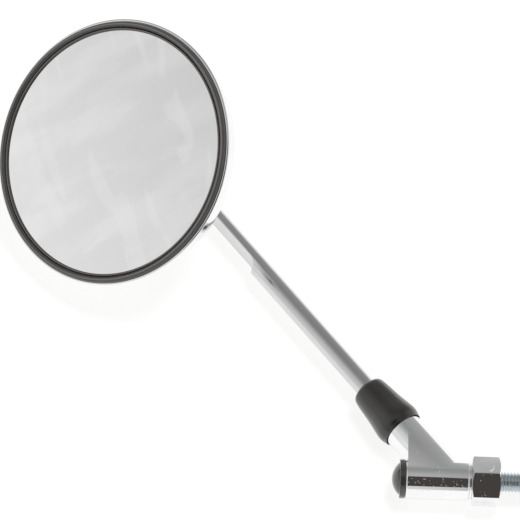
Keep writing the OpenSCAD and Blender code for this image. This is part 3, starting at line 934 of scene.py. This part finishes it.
# %% Rubber and plastic finishes
def moulded(name, deep, pale, polish, grain, height, scale=60.0):
    """Moulded surface. grain and height are the scale and the depth of its skin"""
    material, tree, shader, place = new_material(name)
    tone = use_group(tree, drift_group, [("Vector", place), ("Scale", scale)])
    tree.links.new(blend_colours(tree, tone, deep, pale), shader.inputs["Base Color"])
    rough = use_group(tree, drift_group, [("Vector", place), ("Scale", scale * 2.5), ("Low", polish[0]),
                                          ("High", polish[1])])
    tree.links.new(rough, shader.inputs["Roughness"])
    skin = add(tree, "TexNoise", [("Vector", place), ("Scale", grain), ("Detail", 3.0)])
    bump = add(tree, "Bump", [("Height", skin.outputs["Fac"]), ("Distance", height)])
    tree.links.new(bump.outputs["Normal"], shader.inputs["Normal"])
    return material


boot_rubber = moulded("boot_rubber", (0.013, 0.011, 0.010), (0.021, 0.019, 0.017), (0.17, 0.25), 2600.0, 0.00001)
ring_rubber = moulded("ring_rubber", (0.050, 0.046, 0.042), (0.070, 0.065, 0.060), (0.24, 0.34), 1800.0, 0.00003)
cap_plastic = moulded("cap_plastic", (0.026, 0.024, 0.022), (0.036, 0.034, 0.032), (0.12, 0.20), 900.0, 0.00001)
nylon = moulded("white_nylon", (0.78, 0.77, 0.72), (0.84, 0.83, 0.79), (0.35, 0.5), 900.0, 0.00002)
pad_foam = moulded("pad_foam", (0.035, 0.035, 0.036), (0.06, 0.06, 0.06), (0.8, 0.95), 2200.0, 0.0001)
print("moulded:", boot_rubber.name, ring_rubber.name, cap_plastic.name)

# %% [markdown]
# ## Gloss on the boot and the cap
# Wiping has made the boot and the cap shine. A thin clear coat adds a sharper light to the broad one, which a lower
# roughness alone wouldn't do. The hard cap takes more of it than the boot.

# %% Coats
for material, weight, gloss in ((boot_rubber, 0.6, 0.22), (cap_plastic, 0.9, 0.10)):
    coated = material.node_tree.nodes["Principled BSDF"]
    coated.inputs["Coat Weight"].default_value = weight
    coated.inputs["Coat Roughness"].default_value = gloss
    print(material.name, "coat", weight)

# %% [markdown]
# ## Painted highlights on the ring's crests
# The crests of the two beads get a paler tone, a painted highlight that stands in for the light they catch. A crest
# lies at one radius from the axis of the head, so the radius is worked out in the material, and a soft band mixes
# in the paler tone.

# %% Painted crest highlights
# Tone and strength of the painted highlight on the crests of the ring.
CREST_HIGHLIGHT_TONE = (0.19, 0.185, 0.18)
CREST_HIGHLIGHT_SHARE = 0.8
ring_tree = ring_rubber.node_tree
ring_colour = ring_tree.nodes["Principled BSDF"].inputs["Base Color"]
ring_place = add(ring_tree, "TexCoord").outputs["Object"]
from_head = add(ring_tree, "VectorMath", [(0, ring_place), (1, ON_HEAD.translation)],
                operation="SUBTRACT")
across = add(ring_tree, "VectorMath", [(0, from_head.outputs["Vector"]), (1, ON_HEAD.col[2].xyz)],
             operation="CROSS_PRODUCT")
ring_radius = add(ring_tree, "VectorMath", [(0, across.outputs["Vector"])], operation="LENGTH")
skin_colour = ring_colour.links[0].from_socket
for crest_r, half in ((ring_r - bead_half, 0.55), (sight_r + LIP_HALF, 0.3)):
    away = maths(ring_tree, "ABSOLUTE", maths(ring_tree, "SUBTRACT", ring_radius.outputs["Value"], crest_r * MM))
    # Soft band of painted highlight along each crest, printed below with its radius.
    painted_highlight = add(ring_tree, "MapRange", [("Value", away), ("From Min", half * MM), ("From Max", 0.0),
               ("To Min", 0.0), ("To Max", CREST_HIGHLIGHT_SHARE)], interpolation_type="SMOOTHSTEP")
    skin_colour = blend_colours(ring_tree, painted_highlight.outputs["Result"], skin_colour, CREST_HIGHLIGHT_TONE)
    print("worn crest at radius", round(crest_r, 2))
ring_tree.links.new(skin_colour, ring_colour)

# %% [markdown]
# ## The silver
# The glass is silvered on its back, so what shows is the silver. A metal with hardly any roughness does this
# well, and a faint haze of dust keeps it from looking like a hole.

# %% Silver finish
silver, silver_tree, silver_shader, silver_place = new_material("silvered_glass")
haze = use_group(silver_tree, drift_group, [("Vector", silver_place), ("Scale", 45.0), ("Low", 0.004),
                                            ("High", 0.02)])
silver_tree.links.new(haze, silver_shader.inputs["Roughness"])
film = use_group(silver_tree, drift_group, [("Vector", silver_place), ("Scale", 30.0)])
silver_tree.links.new(blend_colours(silver_tree, film, (0.965, 0.965, 0.965), (0.945, 0.945, 0.945)),
                      silver_shader.inputs["Base Color"])
silver_shader.inputs["Metallic"].default_value = 1.0
print(silver.name, "is ready")

# %% [markdown]
# ## Which piece gets which finish
# The pieces made above take theirs by name. Springs, seats, bush, screws and pad are kept as they come from the
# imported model, because plain shapes serve well inside a joint, and only get a finish.

# %% Finishes on the pieces
finishes = {
    "bowl": chrome, "stem": stem_metal_painted_shade, "socket": chrome, "joint_casting": joint_chrome, "big_nut": nut_chrome,
    "rubber_ring": ring_rubber, "boot": boot_rubber, "end_plug": cap_plastic, "silvered_glass": silver,
    "ball_and_stud": zinc, "knuckle": zinc, "outer_washer": chrome, "inner_washer": zinc, "lock_nut": zinc,
    "threaded_bolt": zinc}
for name, material in finishes.items():
    pieces[name].data.materials.append(material)
inner_finishes = {
    "disc_springs": spring_steel, "pivot_bush": bronze, "grub_screw": spring_steel, "rear_ball_seat": nylon,
    "front_ball_seat": nylon, "seat_spring": spring_steel, "spring_cover": zinc, "cover_screws": zinc,
    "glass_backing": pad_foam}
for name, material in inner_finishes.items():
    node = frame["nodes"][name]
    node.data.materials.clear()
    node.data.materials.append(material)
print(len(finishes) + len(inner_finishes), "pieces have a finish")

# %% [markdown]
# ## The floor
# The mirror lies on a white sweep of paper. In a bright room such paper is close to pure white, so most of its
# tone is a glow of its own, and the rest takes light and shadow. It is a stage plane just under the part.

# %% Floor
FLOOR_GAP = 0.0001
part_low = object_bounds()[0]
floor_mesh = bmesh.new()
bmesh.ops.create_grid(floor_mesh, x_segments=1, y_segments=1, size=4)
floor = loose_object(floor_mesh, "floor")
floor.data.transform(Matrix.Translation((0, 0, part_low.z - FLOOR_GAP)))
floor_material, floor_tree, floor_shader, _ = new_material("white_sweep")
floor_tree.nodes.remove(floor_shader)
matte = add(floor_tree, "BsdfDiffuse", [("Color", (0.18, 0.18, 0.18, 1))])
glow = add(floor_tree, "Emission", [("Color", (1, 1, 0.99, 1)), ("Strength", 0.86)])
sweep = add(floor_tree, "AddShader", [(0, matte.outputs[0]), (1, glow.outputs[0])])
floor_tree.links.new(sweep.outputs[0], floor_tree.nodes["Material Output"].inputs["Surface"])
floor.data.materials.append(floor_material)
print("floor at", round(part_low.z / MM, 2), "mm")

# %% [markdown]
# ## The camera
# The camera stands well back with a long lens, so that straight edges stay nearly parallel. It looks down at 56
# degrees and is rolled a little. Its matrix is built from the directions of the view, which are easy to check.

# %% Camera
CAMERA_AZIMUTH = math.radians(-1.383)
CAMERA_HEIGHT = math.radians(56.0)
CAMERA_ROLL = math.radians(3.158)
CAMERA_DISTANCE = 1.5
CAMERA_LENS = 269.75
AIM_RIGHT = -92.26 * MM
AIM_UP = 85.50 * MM
look = Vector((-math.sin(CAMERA_AZIMUTH) * math.cos(CAMERA_HEIGHT),
               math.cos(CAMERA_AZIMUTH) * math.cos(CAMERA_HEIGHT), -math.sin(CAMERA_HEIGHT)))
level_right = Vector((math.cos(CAMERA_AZIMUTH), math.sin(CAMERA_AZIMUTH), 0))
level_up = level_right.cross(look)
right = level_right * math.cos(CAMERA_ROLL) + level_up * math.sin(CAMERA_ROLL)
top = level_up * math.cos(CAMERA_ROLL) - level_right * math.sin(CAMERA_ROLL)
camera_data = bpy.data.cameras.new("camera")
camera_data.lens = CAMERA_LENS
camera_data.clip_start = 0.01
camera = bpy.data.objects.new("camera", camera_data)
stand = Matrix((right, top, -look)).transposed().to_4x4()
stand.translation = look * -CAMERA_DISTANCE + right * AIM_RIGHT + top * AIM_UP
camera.matrix_world = stand
bpy.context.scene.collection.objects.link(camera)
bpy.context.scene.camera = camera
print("camera at", [round(part, 3) for part in stand.translation])

# %% [markdown]
# ## The room
# What chrome shows is the room, so the world is drawn as that room, by direction only. Walls could be modelled
# instead, but a few smooth steps between directions are enough for such small curved surfaces.

# %% Room helpers
world = bpy.data.worlds.new("white_room")
bpy.context.scene.world = world
world.use_nodes = True
room = world.node_tree
room.nodes.clear()
direction = add(room, "TexCoord").outputs["Generated"]
axes = add(room, "SeparateXYZ", [(0, direction)])


def ramp(value, start, end, low=0.0, high=1.0):
    """Smooth step between two values"""
    node = add(room, "MapRange", [("Value", value), ("From Min", start), ("From Max", end),
               ("To Min", low), ("To Max", high)], interpolation_type="SMOOTHSTEP")
    return node.outputs["Result"]


def towards(vector):
    """Cosine of the angle between a direction of the room and a fixed one"""
    unit = Vector(vector).normalized()
    return add(room, "VectorMath", [(0, direction), (1, unit)], operation="DOT_PRODUCT").outputs["Value"]


def mixed(factor, first, second):
    return blend_colours(room, factor, first, second)


# %% [markdown]
# ## The walls
# The room is pale at the horizon and grey overhead. The tone follows the angle from the far horizon over the top
# to the near one, and the two sides get tones of their own.

# %% Walls
WALL_TONES = [(0.0, 0.80), (0.03, 0.74), (0.06, 0.61), (0.11, 0.49), (0.17, 0.45), (0.22, 0.40), (0.28, 0.33),
              (0.33, 0.285), (0.38, 0.30), (0.45, 0.36), (0.51, 0.44), (0.60, 0.43), (0.92, 0.68), (1.0, 0.72)]
around = maths(room, "ARCTAN2", axes.outputs["Z"], axes.outputs["Y"])
walls = add(room, "ValToRGB", [("Fac", maths(room, "DIVIDE", around, math.pi))])
while len(walls.color_ramp.elements) < len(WALL_TONES):
    walls.color_ramp.elements.new(0.5)
for element, (spot, tone) in zip(walls.color_ramp.elements, WALL_TONES):
    element.position = spot
    element.color = (tone, tone, tone, 1)
colour = mixed(ramp(axes.outputs["X"], -0.05, 0.25, 0.0, 0.55), walls.outputs["Color"], (0.28, 0.28, 0.28))
colour = mixed(ramp(axes.outputs["X"], 0.45, 0.85), colour, (0.80, 0.80, 0.79))
colour = mixed(ramp(axes.outputs["X"], -0.35, -0.60), colour, (0.30, 0.30, 0.31))
print("wall tones:", len(WALL_TONES))

# %% [markdown]
# ## The sheet on the left
# A large white sheet hangs on the left and is what the glass shows. A coarse noise gives its soft folds and a
# finer, stretched one the creases, as in real cloth. It is darker towards the top.

# %% Sheet
LEFT_SIDE = (-0.90, -0.22, 0.38)
broad_place = add(room, "Mapping", [("Vector", direction), ("Rotation", (0.3, 0.5, 0.9)),
                  ("Scale", (10.0, 44.0, 12.0))])
folds = add(room, "TexNoise", [("Vector", broad_place.outputs["Vector"]), ("Scale", 1.0),
            ("Detail", 3.0), ("Distortion", 0.3)])
folded = ramp(folds.outputs["Fac"], 0.40, 0.64)
lower = mixed(folded, (0.765, 0.765, 0.765), (0.815, 0.815, 0.81))
upper = mixed(folded, (0.635, 0.635, 0.64), (0.685, 0.685, 0.685))
sheet = mixed(ramp(axes.outputs["Z"], 0.36, 0.58), lower, upper)
fine_place = add(room, "Mapping", [("Vector", direction), ("Rotation", (0.9, 0.2, 0.5)),
                 ("Scale", (30.0, 9.0, 34.0))])
creases = add(room, "TexNoise", [("Vector", fine_place.outputs["Vector"]), ("Scale", 1.0),
              ("Detail", 1.0), ("Distortion", 1.2)])
sheet = mixed(ramp(creases.outputs["Fac"], 0.60, 0.66, 0.0, 0.22), sheet, (0.86, 0.86, 0.86))
colour = mixed(ramp(towards(LEFT_SIDE), 0.60, 1.0), colour, sheet)
print("sheet on the left:", LEFT_SIDE)

# %% [markdown]
# ## The dark patch and the backdrop
# Near the camera the room is dark, and the chrome shows it as a dark band. The camera itself sees plain white
# beyond the floor, so a switch keeps the drawn room for the reflections and the light.

# %% Backdrop
DARK_SIDE = (-look.x, -0.68, 0.73)
colour = mixed(ramp(towards(DARK_SIDE), 0.875, 0.895), colour, (0.060, 0.053, 0.049))
lit = add(room, "Background", [("Color", colour), ("Strength", 1.0)])
plain = add(room, "Background", [("Color", (1, 1, 1, 1)), ("Strength", 1.0)])
seen = add(room, "LightPath").outputs["Is Camera Ray"]
both = add(room, "MixShader", [(0, seen), (1, lit.outputs[0]), (2, plain.outputs[0])])
add(room, "OutputWorld", [("Surface", both.outputs[0])])
print("room has", len(room.nodes), "nodes")

# %% [markdown]
# ## Lamps
# A disc lamp high on the right casts the soft shadow, and a wider, weaker one on the left fills it. Neither shows
# in reflections, because the room already holds everything that the chrome shows.

# %% Lamps
LAMP_AIM = Vector((-0.1, 0.08, 0))


def soft_lamp(name, place, size, power):
    data = bpy.data.lights.new(name, "AREA")
    data.shape = "DISK"
    data.size = size
    data.energy = power
    lamp = bpy.data.objects.new(name, data)
    lamp.location = place
    lamp.rotation_euler = (LAMP_AIM - Vector(place)).to_track_quat("-Z", "Y").to_euler()
    lamp.visible_glossy = False
    bpy.context.scene.collection.objects.link(lamp)
    print(name, "lamp of", power, "W")


soft_lamp("key", (0.2, 0.2, 1.1), 0.35, 7.0)
soft_lamp("fill", (-0.8, -0.5, 0.7), 0.8, 1.5)

# %% [markdown]
# ## Tones
# Tones are shown without a film curve.

# %% Output
bpy.context.scene.view_settings.view_transform = "Standard"
